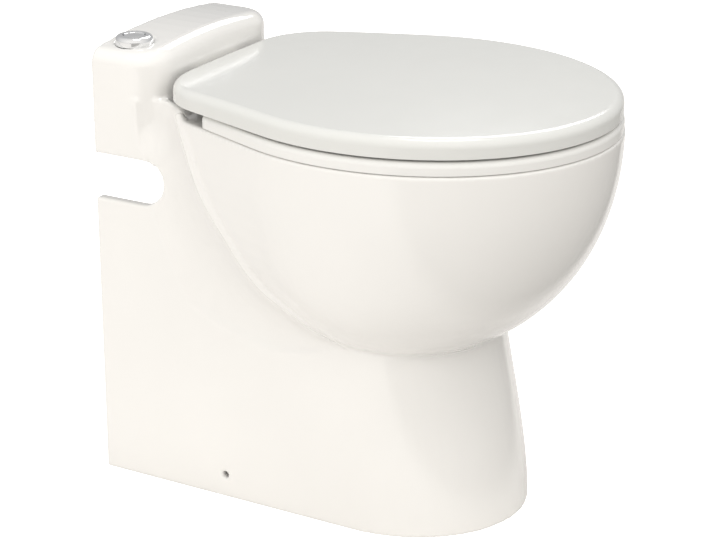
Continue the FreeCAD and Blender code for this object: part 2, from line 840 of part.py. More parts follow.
def button_bezel():
    """Ring flange on a tube that drops through the hood, with a floor for the spring."""
    flange = rod(bezel_radius, button_at + (flange_low_z,), Z_AXIS, bezel_height)
    flange = soft_edges(flange, bezel_top_z, bezel_height / 2)
    sleeve = rod(bezel_tube_radius, button_at + (bezel_low_z,), Z_AXIS, flange_low_z - bezel_low_z)
    bore = rod(bezel_bore, button_at + (button_floor_z,), Z_AXIS, bezel_top_z - button_floor_z)
    stem_hole = rod(button_stem_radius + running_gap, button_at + (bezel_low_z,), Z_AXIS, bezel_floor)
    return flange.fuse(sleeve).cut([bore, stem_hole]).removeSplitter()


def push_button():
    """Cap with a dished top, on a stem that works the switch."""
    cap = rod(button_radius, button_at + (cap_low_z,), Z_AXIS, button_cap_height)
    cap = soft_edges(cap, cap_top_z, button_edge)
    dish_z = cap_top_z + button_dish_radius - button_dish_depth
    dish = Part.makeSphere(button_dish_radius, Vector(button_x, button_y, dish_z))
    stem = rod(button_stem_radius, button_at + (stem_low_z,), Z_AXIS, cap_low_z - stem_low_z)
    return cap.cut(dish).fuse(stem).removeSplitter()


def coil_spring(center, axis_start, axis, length, mean_radius, wire_radius, turns):
    """Helical spring, as a round wire along quarter-turn arcs."""
    steps = turns * 4
    rise = (length - 2 * wire_radius) / steps
    points = []
    for step in range(2 * steps + 1):
        angle = step * math.pi / 4
        height = axis_start + wire_radius + rise * step / 2
        points.append(Vector(mean_radius * math.cos(angle), mean_radius * math.sin(angle), height))
    arcs = [Part.Arc(points[i], points[i + 1], points[i + 2]).toShape() for i in range(0, 2 * steps, 2)]
    path = Part.Wire(arcs)
    start = arcs[0].tangentAt(arcs[0].FirstParameter)
    ring = Part.Wire([Part.makeCircle(wire_radius, points[0], start)])
    spring = path.makePipeShell([ring], True, False)
    spring.Placement = FreeCAD.Placement(Vector(*center), FreeCAD.Rotation(Z_AXIS, axis))
    return spring


def switch_housing():
    """Cup under the bezel that holds the switch contact below the stem."""
    cup = rod(bezel_tube_radius, button_at + (switch_low_z,), Z_AXIS, switch_height)
    room_z = stem_low_z - button_travel - switch_play
    room = rod(bezel_tube_radius - switch_wall, button_at + (room_z,), Z_AXIS, bezel_low_z - room_z)
    return cup.cut(room)


button_spring = coil_spring(button_at + (0,), button_floor_z + seat_gap, Z_AXIS,
                            cap_low_z - button_floor_z - 2 * seat_gap, button_spring_radius,
                            button_spring_wire, button_spring_turns)
button_gasket = tube(bezel_radius - button_land_margin, button_hole_radius, button_at + (button_land_z,),
                     Z_AXIS, gasket_thickness)
button_nut = tube(button_nut_radius, bezel_tube_radius + running_gap,
                  button_at + (button_land_z - wall - button_nut_height,), Z_AXIS, button_nut_height)
save(button_bezel(), "button_bezel")
save(push_button(), "push_button")
save(button_spring, "button_spring")
save(button_gasket, "button_gasket")
save(button_nut, "button_nut")
save(switch_housing(), "switch_housing")


# Macerator tank, its feet, cover, seal and screws

tank_rear_y = tank_front_y + tank_depth
tank_inside_z = tank_floor_z + tank_wall
cover_low_z = tank_top_z + seal_height
cover_top_z = cover_low_z + cover_height
inlet_outer = outlet_radius + outlet_wall
shaft_at = (shaft_x, shaft_y)
riser_at = (riser_x, riser_y)
pressure_at = (pressure_x, pressure_y)


def tank_box(grow, low_z, high_z):
    """Upright box on the tank's plan with rounded corners, grown by a margin."""
    box = block((-tank_half_width - grow, tank_front_y - grow, low_z),
                (tank_half_width + grow, tank_rear_y + grow, high_z))
    upright = [edge for edge in box.Edges if abs(edge.BoundBox.ZLength - (high_z - low_z)) < 0.01]
    return box.makeFillet(tank_corner + grow, upright)


def screw_places():
    """Screws along the flange: four in front, four behind."""
    inset_y = flange_width / 2
    places = []
    for x in (-screw_outer_x, -screw_inner_x, screw_inner_x, screw_outer_x):
        places.append((x, tank_front_y - inset_y))
        places.append((x, tank_rear_y + inset_y))
    return places


def screw_holes(low_z, high_z):
    """Clearance holes for all the cover screws."""
    length = high_z - low_z + 2 * cut_over
    return [rod(screw_radius + seat_gap, place + (low_z - cut_over,), Z_AXIS, length)
            for place in screw_places()]


def macerator_tank():
    """Open box with a flange on top and a round inlet in front."""
    tank = tank_box(0, tank_floor_z, tank_top_z)
    tank = tank.fuse(tank_box(flange_width, tank_top_z - flange_height, tank_top_z))
    spigot_y = tank_front_y - inlet_spigot_length
    spigot = rod(inlet_outer, (0, spigot_y, outlet_z), Y_AXIS, inlet_spigot_length + tank_wall)
    tank = tank.fuse(spigot).cut(tank_box(-tank_wall, tank_inside_z, tank_top_z))
    inlet = rod(outlet_radius, (0, spigot_y - cut_over, outlet_z), Y_AXIS,
                inlet_spigot_length + tank_wall + 2 * cut_over)
    return tank.cut([inlet] + screw_holes(tank_top_z - flange_height, tank_top_z)).removeSplitter()


def tank_feet():
    """Four rubber pads between the tank and the floor."""
    pads = []
    for y in (tank_front_y + foot_inset, tank_rear_y - foot_inset):
        pad = rod(foot_radius, (tank_half_width - foot_inset, y, 0), Z_AXIS, tank_floor_z)
        pads += [pad, mirrored(pad)]
    return Part.makeCompound(pads)


def tank_cover():
    """Flat cover with a bearing boss and holes for the riser, the pressure tube and the screws."""
    cover = tank_box(flange_width, cover_low_z, cover_top_z)
    boss_height = seal_ring_height + bearing_height - cover_height
    boss = rod(bearing_boss_radius, shaft_at + (cover_top_z,), Z_AXIS, boss_height)
    start_z = cover_low_z - cut_over
    through = cover_height + 2 * cut_over
    bearing_seat = rod(bearing_radius + seat_gap, shaft_at + (start_z,), Z_AXIS, through + boss_height)
    riser_hole = rod(riser_radius + seat_gap, riser_at + (start_z,), Z_AXIS, through)
    tube_hole = rod(pressure_tube_radius + seat_gap, pressure_at + (start_z,), Z_AXIS, through)
    holes = [bearing_seat, riser_hole, tube_hole] + screw_holes(cover_low_z, cover_top_z)
    return cover.fuse(boss).cut(holes)


def cover_seal():
    """Flat rubber frame between flange and cover."""
    inside = tank_box(-tank_wall, tank_top_z, cover_low_z)
    frame = tank_box(flange_width, tank_top_z, cover_low_z).cut(inside)
    return frame.cut(screw_holes(tank_top_z, cover_low_z))


def cover_screws():
    """Round-headed screws through cover, seal and flange."""
    screws = []
    for place in screw_places():
        shank = rod(screw_radius, place + (cover_top_z - screw_length,), Z_AXIS, screw_length)
        head = rod(screw_head_radius, place + (cover_top_z,), Z_AXIS, screw_head_height)
        screws.append(shank.fuse(head).removeSplitter())
    return Part.makeCompound(screws)


save(macerator_tank(), "macerator_tank")
save(tank_feet(), "tank_feet")
save(tank_cover(), "tank_cover")
save(cover_seal(), "cover_seal")
save(cover_screws(), "cover_screws")


# Motor, shaft, bearings, blade and pump

motor_low_z = cover_top_z
motor_top_z = motor_low_z + motor_height
shaft_top_z = motor_top_z - motor_wall - loose_gap
bearing_low_z = cover_low_z + seal_ring_height
stack_low_z = bearing_low_z + bearing_height + rotor_lift
upper_bearing_z = shaft_top_z - bearing_height


def motor_can():
    """Drawn steel can over the windings, with a collar for the upper bearing."""
    can = rod(motor_radius, shaft_at + (motor_low_z,), Z_AXIS, motor_height)
    room_height = motor_height - motor_wall
    can = can.cut(rod(motor_radius - motor_wall, shaft_at + (motor_low_z,), Z_AXIS, room_height))
    collar = tube(bearing_boss_radius, bearing_radius + seat_gap, shaft_at + (upper_bearing_z,), Z_AXIS,
                  motor_top_z - motor_wall - upper_bearing_z)
    return can.fuse(collar).removeSplitter()


def bearing(low_z):
    """Plain ring that stands for a ball bearing, with a running bore."""
    return tube(bearing_radius, shaft_radius + running_gap, shaft_at + (low_z,), Z_AXIS, bearing_height)


def chopper_blade():
    """Hub with two flat arms and turned-up tips."""
    low_z = basket_low_z + basket_wall + blade_lift
    hub = rod(blade_hub_radius, shaft_at + (low_z,), Z_AXIS, blade_hub_height)
    low_y = shaft_y - blade_width / 2
    high_y = shaft_y + blade_width / 2
    left_x = shaft_x - blade_radius
    right_x = shaft_x + blade_radius
    arm = block((left_x, low_y, low_z), (right_x, high_y, low_z + blade_thickness))
    left_tip = block((left_x, low_y, low_z), (left_x + blade_thickness, high_y, low_z + blade_tip_height))
    right_tip = block((right_x - blade_thickness, low_y, low_z), (right_x, high_y, low_z + blade_tip_height))
    bore = rod(shaft_radius, shaft_at + (low_z,), Z_AXIS, blade_hub_height)
    return hub.fuse([arm, left_tip, right_tip]).cut(bore).removeSplitter()


def strainer_basket():
    """Perforated cup round the blade, hung from the cover on three posts."""
    outer = rod(basket_radius, shaft_at + (basket_low_z,), Z_AXIS, basket_height)
    room = rod(basket_radius - basket_wall, shaft_at + (basket_low_z + basket_wall,), Z_AXIS, basket_height)
    eye = rod(shaft_radius + basket_eye_gap, shaft_at + (basket_low_z - cut_over,), Z_AXIS,
              basket_wall + 2 * cut_over)
    basket = outer.cut([room, eye])
    holes = []
    pitch = 360 / basket_holes_per_row
    for row in range(basket_hole_rows):
        row_z = basket_low_z + basket_first_row + basket_row_pitch * row
        for step in range(basket_holes_per_row):
            angle = math.radians(pitch * (step + row % 2 / 2))
            direction = Vector(math.cos(angle), math.sin(angle), 0)
            start = Vector(shaft_x, shaft_y, row_z) + direction * (basket_radius - 2 * basket_wall)
            holes.append(Part.makeCylinder(basket_hole_radius, 4 * basket_wall, start, direction))
    basket = basket.cut(holes)
    ring = basket_radius - basket_wall / 2
    posts = []
    foot_z = basket_low_z + basket_height - basket_post_sink
    for step in range(basket_posts):
        angle = math.radians(360 / basket_posts * step + pitch)
        foot = (shaft_x + ring * math.cos(angle), shaft_y + ring * math.sin(angle), foot_z)
        posts.append(rod(basket_post_radius, foot, Z_AXIS, cover_low_z - foot_z))
    return basket.fuse(posts).removeSplitter()


pump_low_z = tank_inside_z
impeller_low_z = pump_low_z + pump_wall + impeller_lift
outlet_run_z = pump_low_z + pump_height / 2


def pump_impeller():
    """Disc with six straight vanes on a hub."""
    disc_z = impeller_low_z + impeller_height - impeller_disc_height
    disc = rod(impeller_radius, shaft_at + (disc_z,), Z_AXIS, impeller_disc_height)
    hub = rod(blade_hub_radius, shaft_at + (impeller_low_z,), Z_AXIS, impeller_height)
    vanes = []
    for step in range(impeller_vanes):
        vane = Part.makeBox(impeller_radius, vane_thickness, impeller_height,
                            Vector(shaft_x, shaft_y - vane_thickness / 2, impeller_low_z))
        vane.rotate(Vector(shaft_x, shaft_y, 0), Z_AXIS, 360 / impeller_vanes * step)
        vanes.append(vane)
    bore = rod(shaft_radius, shaft_at + (impeller_low_z,), Z_AXIS, impeller_height)
    round_blank = rod(impeller_radius, shaft_at + (impeller_low_z,), Z_AXIS, impeller_height)
    return disc.fuse([hub] + vanes).common(round_blank).cut(bore).removeSplitter()


def pump_casing():
    """Round casing on the tank floor with a side outlet that turns up into a socket."""
    casing = rod(pump_radius, shaft_at + (pump_low_z,), Z_AXIS, pump_height)
    run = rod(pump_outlet_radius, (shaft_x, riser_y, outlet_run_z), X_AXIS, riser_x - shaft_x)
    socket = rod(riser_radius, riser_at + (outlet_run_z - riser_radius,), Z_AXIS,
                 pump_height / 2 + riser_radius)
    room_z = pump_low_z + pump_wall
    room = rod(pump_radius - pump_wall, shaft_at + (room_z,), Z_AXIS, pump_height - 2 * pump_wall)
    eye = rod(pump_eye_radius, shaft_at + (room_z,), Z_AXIS, pump_height)
    run_bore = rod(pump_outlet_bore, (shaft_x, riser_y, outlet_run_z), X_AXIS, riser_x - shaft_x)
    socket_bore = rod(riser_bore, riser_at + (outlet_run_z - riser_bore,), Z_AXIS, pump_height)
    return casing.fuse([run, socket]).cut([room, eye, run_bore, socket_bore]).removeSplitter()


motor_shaft = rod(shaft_radius, shaft_at + (shaft_low_z,), Z_AXIS, shaft_top_z - shaft_low_z)
motor_rotor = tube(rotor_radius, shaft_radius, shaft_at + (stack_low_z,), Z_AXIS, stack_height)
motor_stator = tube(motor_radius - motor_wall - seat_gap, rotor_radius + air_gap, shaft_at + (stack_low_z,),
                    Z_AXIS, stack_height)
shaft_seal = tube(bearing_radius, shaft_radius + running_gap, shaft_at + (cover_low_z,), Z_AXIS,
                  seal_ring_height)
save(motor_can(), "motor_can")
save(motor_stator, "motor_stator")
save(motor_rotor, "motor_rotor")
save(motor_shaft, "motor_shaft")
save(bearing(upper_bearing_z), "upper_bearing")
save(bearing(bearing_low_z), "lower_bearing")
save(shaft_seal, "shaft_seal")
save(chopper_blade(), "chopper_blade")
save(strainer_basket(), "strainer_basket")
save(pump_impeller(), "pump_impeller")
save(pump_casing(), "pump_casing")


# Discharge: riser, check valve and elbow

riser_low_z = outlet_run_z + pump_height / 2
valve_low_z = cover_top_z + valve_lift
valve_top_z = valve_low_z + valve_height
seat_plate_z = valve_low_z + valve_socket_depth + valve_seat_thickness
flap_low_z = seat_plate_z + loose_gap
flap_hinge_x = riser_x - flap_radius - flap_hinge_gap
flap_hinge_z = flap_low_z + flap_knuckle_radius
flap_pin_start = (flap_hinge_x, riser_y - flap_pin_length / 2, flap_hinge_z)


def check_valve_body():
    """Round body with an inner seat plate and holes for the flap's pin."""
    body = rod(valve_radius, riser_at + (valve_low_z,), Z_AXIS, valve_height)
    upper_room = rod(valve_bore, riser_at + (seat_plate_z,), Z_AXIS, valve_top_z - seat_plate_z)
    port = rod(riser_bore, riser_at + (valve_low_z,), Z_AXIS, valve_height)
    socket = rod(riser_radius + seat_gap, riser_at + (valve_low_z,), Z_AXIS, valve_socket_depth)
    pin_hole = rod(flap_pin_radius + running_gap, flap_pin_start, Y_AXIS, flap_pin_length)
    return body.cut([upper_room, port, socket, pin_hole])


def check_flap():
    """Round flap with a knuckle at its edge."""
    disc = rod(flap_radius, riser_at + (flap_low_z,), Z_AXIS, flap_thickness)
    low_y = riser_y - flap_knuckle_length / 2
    knuckle = rod(flap_knuckle_radius, (flap_hinge_x, low_y, flap_hinge_z), Y_AXIS, flap_knuckle_length)
    link = block((flap_hinge_x, low_y, flap_low_z),
                 (riser_x, low_y + flap_knuckle_length, flap_low_z + flap_thickness))
    bore = rod(flap_pin_radius + running_gap, flap_pin_start, Y_AXIS, flap_pin_length)
    return disc.fuse([knuckle, link]).cut(bore).removeSplitter()


def discharge_elbow():
    """Flanged bend from the check valve to a plain spigot that points out through the side notch."""
    flange = rod(valve_radius, riser_at + (valve_top_z,), Z_AXIS, elbow_flange_height)
    bend_z = valve_top_z + elbow_flange_height
    pivot = Vector(riser_x + elbow_radius, riser_y, bend_z)
    spigot_start = (riser_x + elbow_radius, riser_y, bend_z + elbow_radius)
    spigot_length = spigot_end_x - spigot_start[0]

    def bend(radius):
        ring = Part.Face(Part.Wire([Part.makeCircle(radius, Vector(riser_x, riser_y, bend_z), Z_AXIS)]))
        return ring.revolve(pivot, Y_AXIS, 90)

    outer = flange.fuse([bend(spigot_radius), rod(spigot_radius, spigot_start, X_AXIS, spigot_length)])
    inner = rod(spigot_bore, riser_at + (valve_top_z,), Z_AXIS, elbow_flange_height)
    spigot_way = rod(spigot_bore, spigot_start, X_AXIS, spigot_length)
    return outer.cut([inner, bend(spigot_bore), spigot_way]).removeSplitter()


riser_pipe = tube(riser_radius, riser_bore, riser_at + (riser_low_z,), Z_AXIS,
                  valve_low_z + valve_socket_depth - riser_low_z)
flap_pin = rod(flap_pin_radius, flap_pin_start, Y_AXIS, flap_pin_length)
save(riser_pipe, "riser_pipe")
save(check_valve_body(), "check_valve_body")
save(check_flap(), "check_flap")
save(flap_pin, "flap_pin")
save(discharge_elbow(), "discharge_elbow")


# Rubber sleeve between the pan's outlet and the tank, with its clamps

sleeve_low_y = outlet_end_y - sleeve_grip
sleeve_high_y = tank_front_y - inlet_spigot_length + sleeve_grip
sleeve_bore = inlet_outer + seat_gap
sleeve_outer = sleeve_bore + sleeve_wall


def sleeve_clamp(middle_y):
    """Steel band round the sleeve."""
    return tube(sleeve_outer + seat_gap + clamp_thickness, sleeve_outer + seat_gap,
                (0, middle_y - clamp_width / 2, outlet_z), Y_AXIS, clamp_width)


inlet_sleeve = tube(sleeve_outer, sleeve_bore, (0, sleeve_low_y, outlet_z), Y_AXIS,
                    sleeve_high_y - sleeve_low_y)
clamp_places = (sleeve_low_y + sleeve_grip / 2, sleeve_high_y - sleeve_grip / 2)
save(inlet_sleeve, "inlet_sleeve")
save(Part.makeCompound([sleeve_clamp(y) for y in clamp_places]), "sleeve_clamps")


# Controls on the cover

box_high_x = box_low_x + box_width
box_high_y = box_low_y + box_depth
box_top_z = cover_top_z + box_height
gland_x = (box_low_x + box_high_x) / 2
gland_y = (box_low_y + box_high_y) / 2


def control_box():
    """Closed plastic box with a hole on top for the cable gland."""
    outer = block((box_low_x, box_low_y, cover_top_z), (box_high_x, box_high_y, box_top_z))
    room = block((box_low_x + box_wall, box_low_y + box_wall, cover_top_z + box_wall),
                 (box_high_x - box_wall, box_high_y - box_wall, box_top_z - box_wall))
    hole = rod(gland_radius - gland_thread_step, (gland_x, gland_y, box_top_z - box_wall - cut_over), Z_AXIS,
               box_wall + 2 * cut_over)
    return outer.cut([room, hole])


def cable_gland():
    """Screwed gland in the box's lid, open for a cord."""
    nut = rod(gland_radius, (gland_x, gland_y, box_top_z), Z_AXIS, gland_length)
    thread_length = 2 * box_wall
    thread_start = (gland_x, gland_y, box_top_z - thread_length)
    thread = rod(gland_radius - gland_thread_step - seat_gap, thread_start, Z_AXIS, thread_length)
    bore = rod(gland_bore, thread_start, Z_AXIS, gland_length + thread_length)
    return nut.fuse(thread).cut(bore).removeSplitter()


board_y = box_low_y + box_wall + board_clearance
board_low = (box_low_x + box_wall + board_clearance, board_y, cover_top_z + box_wall)
board_high = (box_high_x - box_wall - board_clearance, board_y + board_thickness, box_top_z - 3 * box_wall)
pressure_tube = tube(pressure_tube_radius, pressure_tube_bore, pressure_at + (pressure_tube_low_z,), Z_AXIS,
                     cover_top_z - pressure_tube_low_z)
pressure_switch = rod(pressure_switch_radius, pressure_at + (cover_top_z,), Z_AXIS, pressure_switch_height)
capacitor = rod(capacitor_radius, (capacitor_x, capacitor_y, cover_top_z), Z_AXIS, capacitor_height)
save(control_box(), "control_box")
save(block(board_low, board_high), "control_board")
save(cable_gland(), "cable_gland")
save(soft_edges(capacitor, cover_top_z + capacitor_height, capacitor_edge), "capacitor")
save(pressure_tube, "pressure_tube")
save(soft_edges(pressure_switch, cover_top_z + pressure_switch_height, pressure_switch_edge),
     "pressure_switch")


# Solenoid valve, its bracket, and the pipe to the bowl

valve_half = solenoid_size / 2
solenoid_high_x = solenoid_low_x + solenoid_length
valve_top = inlet_z + valve_half
coil_low_x = solenoid_low_x - coil_length
plunger_low_x = solenoid_low_x + plunger_nose - plunger_length
barb_top_z = valve_top + barb_length


def solenoid_body():
    """Valve block with a threaded inlet to the side and a barb for the pipe on top."""
    body = block((solenoid_low_x, inlet_y - valve_half, inlet_z - valve_half),
                 (solenoid_high_x, inlet_y + valve_half, valve_top))
    inlet = rod(inlet_radius, (solenoid_high_x, inlet_y, inlet_z), X_AXIS, inlet_end_x - solenoid_high_x)
    barb = rod(pipe_bore - seat_gap, (outlet_x, inlet_y, valve_top), Z_AXIS, barb_length)
    water_x = solenoid_low_x + guide_depth + valve_seat_wall
    water = rod(inlet_bore, (water_x, inlet_y, inlet_z), X_AXIS, inlet_end_x - water_x)
    guide = rod(guide_radius, (solenoid_low_x, inlet_y, inlet_z), X_AXIS, guide_depth)
    way_up = rod(barb_bore, (outlet_x, inlet_y, inlet_z), Z_AXIS, barb_top_z - inlet_z)
    return body.fuse([inlet, barb]).cut([water, guide, way_up]).removeSplitter()


def solenoid_coil():
    """Round coil with a blind guide for the plunger."""
    coil = rod(coil_radius, (coil_low_x, inlet_y, inlet_z), X_AXIS, coil_length)
    guide = rod(guide_radius, (coil_low_x + coil_end, inlet_y, inlet_z), X_AXIS, coil_length)
    return coil.cut(guide)


def valve_bracket():
    """Bent sheet from the cover up to the valve block."""
    low_x = solenoid_low_x + bracket_inset
    high_x = low_x + bracket_width
    back_y = tank_rear_y + flange_width - seal_height
    front_y = back_y - bracket_foot
    foot = block((low_x, front_y, cover_top_z), (high_x, back_y, cover_top_z + bracket_thickness))
    shelf_z = inlet_z - valve_half
    upright = block((low_x, back_y - bracket_thickness, cover_top_z), (high_x, back_y, shelf_z))
    shelf = block((low_x, front_y, shelf_z - bracket_thickness), (high_x, back_y, shelf_z))
    return foot.fuse([upright, shelf]).removeSplitter()


def pipe_path():
    """From the valve's barb up, forward, across to the middle and into the nozzle."""
    level_z = nozzle_z
    bend_low_z = level_z - pipe_bend
    diagonal = pipe_bend * math.sqrt(0.5)
    turn_y = nozzle_boss_end_y + nozzle_flange_height + barb_length + pipe_end_run + 2 * pipe_bend
    first = Vector(outlet_x, inlet_y, valve_top + seat_gap)
    bend_start = Vector(outlet_x, inlet_y, bend_low_z)
    bend_middle = Vector(outlet_x, inlet_y - pipe_bend + diagonal, bend_low_z + diagonal)
    bend_end = Vector(outlet_x, inlet_y - pipe_bend, level_z)
    across_start = Vector(outlet_x, turn_y, level_z)
    across_middle = Vector(outlet_x - pipe_bend + diagonal, turn_y - diagonal, level_z)
    across_end = Vector(outlet_x - pipe_bend, turn_y - pipe_bend, level_z)
    home_start = Vector(pipe_bend, turn_y - pipe_bend, level_z)
    home_middle = Vector(pipe_bend - diagonal, turn_y - 2 * pipe_bend + diagonal, level_z)
    home_end = Vector(0, turn_y - 2 * pipe_bend, level_z)
    last = Vector(0, nozzle_boss_end_y + nozzle_flange_height + seat_gap, level_z)
    return Part.Wire([
        Part.makeLine(first, bend_start),
        Part.Arc(bend_start, bend_middle, bend_end).toShape(),
        Part.makeLine(bend_end, across_start),
        Part.Arc(across_start, across_middle, across_end).toShape(),
        Part.makeLine(across_end, home_start),
        Part.Arc(home_start, home_middle, home_end).toShape(),
        Part.makeLine(home_end, last),
    ])


def flush_pipe():
    """Hollow moulded pipe along its path."""
    path = pipe_path()
    start = path.Edges[0].Vertexes[0].Point

    def sweep(radius):
        ring = Part.Wire([Part.makeCircle(radius, start, Z_AXIS)])
        return path.makePipeShell([ring], True, False)

    return sweep(pipe_radius).cut(sweep(pipe_bore))


def flush_nozzle():
    """Nozzle through the bowl's rear wall, with a flange and a barb for the pipe."""
    flange = rod(nozzle_flange_radius, (0, nozzle_boss_end_y, nozzle_z), Y_AXIS, nozzle_flange_height)
    spout_y = nozzle_boss_end_y - nozzle_length
    spout = rod(nozzle_radius, (0, spout_y, nozzle_z), Y_AXIS, nozzle_length)
    barb_y = nozzle_boss_end_y + nozzle_flange_height
    barb = rod(pipe_bore - seat_gap, (0, barb_y, nozzle_z), Y_AXIS, barb_length)
    bore = rod(barb_bore, (0, spout_y - cut_over, nozzle_z), Y_AXIS,
               nozzle_length + nozzle_flange_height + barb_length + 2 * cut_over)
    return flange.fuse([spout, barb]).cut(bore).removeSplitter()


def pipe_clip(start, axis):
    """Spring band round one end of the pipe."""
    inner = pipe_radius + seat_gap
    return tube(inner + clip_thickness, inner, start, axis, clip_width)


spring_low_x = coil_low_x + coil_end + seat_gap
plunger_spring = coil_spring((0, inlet_y, inlet_z), spring_low_x, X_AXIS,
                             plunger_low_x - seat_gap - spring_low_x, plunger_spring_radius,
                             plunger_spring_wire, plunger_spring_turns)
valve_plunger = rod(plunger_radius, (plunger_low_x, inlet_y, inlet_z), X_AXIS, plunger_length)
filter_radius = inlet_bore - seat_gap
filter_low_x = inlet_end_x - filter_length - filter_recess
inlet_filter = tube(filter_radius, filter_radius - filter_wall, (filter_low_x, inlet_y, inlet_z), X_AXIS,
                    filter_length)
save(solenoid_body(), "solenoid_body")
save(solenoid_coil(), "solenoid_coil")
save(valve_plunger, "valve_plunger")
save(plunger_spring, "plunger_spring")
save(inlet_filter, "inlet_filter")
save(valve_bracket(), "valve_bracket")
save(flush_pipe(), "flush_pipe")
save(flush_nozzle(), "flush_nozzle")
nozzle_clip_y = nozzle_boss_end_y + nozzle_flange_height + clip_offset
save(Part.makeCompound([pipe_clip((outlet_x, inlet_y, valve_top + clip_offset), Z_AXIS),
                        pipe_clip((0, nozzle_clip_y, nozzle_z), Y_AXIS)]), "pipe_clips")
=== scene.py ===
import math

import bmesh
import bpy
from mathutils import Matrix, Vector


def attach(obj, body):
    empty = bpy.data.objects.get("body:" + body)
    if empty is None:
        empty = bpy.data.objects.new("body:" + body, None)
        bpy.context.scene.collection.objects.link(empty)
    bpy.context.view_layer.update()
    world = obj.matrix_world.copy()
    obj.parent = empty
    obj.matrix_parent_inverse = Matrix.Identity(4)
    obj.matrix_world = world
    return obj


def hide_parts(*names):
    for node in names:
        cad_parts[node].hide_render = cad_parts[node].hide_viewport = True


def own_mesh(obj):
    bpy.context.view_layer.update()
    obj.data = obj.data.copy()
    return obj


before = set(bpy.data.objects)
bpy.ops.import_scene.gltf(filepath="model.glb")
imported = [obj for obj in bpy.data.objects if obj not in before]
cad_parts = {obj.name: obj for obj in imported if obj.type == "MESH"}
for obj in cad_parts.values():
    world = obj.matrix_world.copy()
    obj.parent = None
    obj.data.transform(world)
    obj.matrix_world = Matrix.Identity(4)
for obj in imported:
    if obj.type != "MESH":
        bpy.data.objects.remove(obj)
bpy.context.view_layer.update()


# Vitreous china pan: bowl, neck, pedestal, casing and hood slip-cast in one piece and fired under
# a warm white glaze. The glaze is glassy and a little wavy, its tint drifts slightly from place to
# place, and it lies thick enough to ease every edge.

class Tone:
    """One socket of a finish. Sums on it become Math nodes, and add() makes any other node."""

    # Places of the colour sockets on a Mix node
    mix_share = 0
    mix_dark = 6
    mix_light = 7
    mix_result = 2

    def __init__(self, nodes, socket):
        self.nodes = nodes
        self.socket = socket

    def add(self, kind, settings, sockets, output=0):
        node = self.nodes.new(kind)
        for name, value in settings.items():
            setattr(node, name, value)
        for name, value in sockets.items():
            if isinstance(value, Tone):
                self.nodes.id_data.links.new(value.socket, node.inputs[name])
            else:
                node.inputs[name].default_value = value
        return Tone(self.nodes, node.outputs[output])

    def sum(self, operation, first, second):
        return self.add("ShaderNodeMath", {"operation": operation}, {0: first, 1: second})

    def __add__(self, other):
        return self.sum("ADD", self, other)

    def __radd__(self, other):
        return self.sum("ADD", other, self)

    def __sub__(self, other):
        return self.sum("SUBTRACT", self, other)

    def __rsub__(self, other):
        return self.sum("SUBTRACT", other, self)

    def __mul__(self, other):
        return self.sum("MULTIPLY", self, other)

    def __rmul__(self, other):
        return self.sum("MULTIPLY", other, self)

    def noise(self, scale, detail=2.0):
        return self.add("ShaderNodeTexNoise", {}, {"Vector": self, "Scale": scale, "Detail": detail})

    def stretched(self, x, y, z):
        return self.add("ShaderNodeMapping", {}, {"Vector": self, "Scale": (x, y, z)})

    def along(self, axis):
        return self.add("ShaderNodeSeparateXYZ", {}, {"Vector": self}, axis)

    def between(self, low, high):
        return self.add("ShaderNodeMapRange", {}, {"Value": self, "From Min": low, "From Max": high})

    def tint(self, dark, light):
        opaque = (1,)
        sockets = {self.mix_share: self, self.mix_dark: dark + opaque, self.mix_light: light + opaque}
        return self.add("ShaderNodeMix", {"data_type": "RGBA"}, sockets, self.mix_result)

    def relief(self, strength, depth):
        return self.add("ShaderNodeBump", {}, {"Height": self, "Strength": strength, "Distance": depth})


def finish(name, fixed, varying):
    """New material: plain values on the shader's own sockets, nodes for what varies."""
    material = bpy.data.materials.new(name)
    material.use_nodes = True
    nodes = material.node_tree.nodes
    shader = nodes["Principled BSDF"]
    for socket, value in fixed.items():
        shader.inputs[socket].default_value = value
    place = Tone(nodes, nodes.new("ShaderNodeTexCoord").outputs["Object"])
    for socket, tone in varying(place).items():
        material.node_tree.links.new(tone.socket, shader.inputs[socket])
    return material


def dress(material, *nodes):
    """Give CAD nodes a finish."""
    for node in nodes:
        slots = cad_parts[node].data.materials
        slots.clear()
        slots.append(material)


def glaze_tones(place):
    cloud = place.noise(scale=5.0)
    ripple = place.noise(scale=38.0)
    glaze_shade = (0.848, 0.838, 0.815)
    glaze_light = (0.876, 0.866, 0.843)
    return {
        "Base Color": cloud.between(low=0.35, high=0.65).tint(glaze_shade, glaze_light),
        "Roughness": 0.05 + 0.05 * place.noise(scale=14.0),
        "Normal": ripple.relief(strength=0.02, depth=0.004),
    }


def bead_mesh(points, radius):
    """Round bead along a smooth line; each point gives its place and its share of the radius."""
    round_steps = 6
    line_order = 3
    curve = bpy.data.curves.new("bead", "CURVE")
    curve.dimensions = "3D"
    curve.bevel_depth = radius
    curve.bevel_resolution = round_steps
    curve.use_fill_caps = True
    spline = curve.splines.new("NURBS")
    spline.points.add(len(points) - 1)
    for knot, (x, y, z, share) in zip(spline.points, points):
        knot.co = (x, y, z, 1.0)
        knot.radius = share
    spline.order_u = line_order
    spline.use_endpoint_u = True
    line = bpy.data.objects.new("bead", curve)
    mesh = bpy.data.meshes.new_from_object(line)
    bpy.data.objects.remove(line)
    return mesh


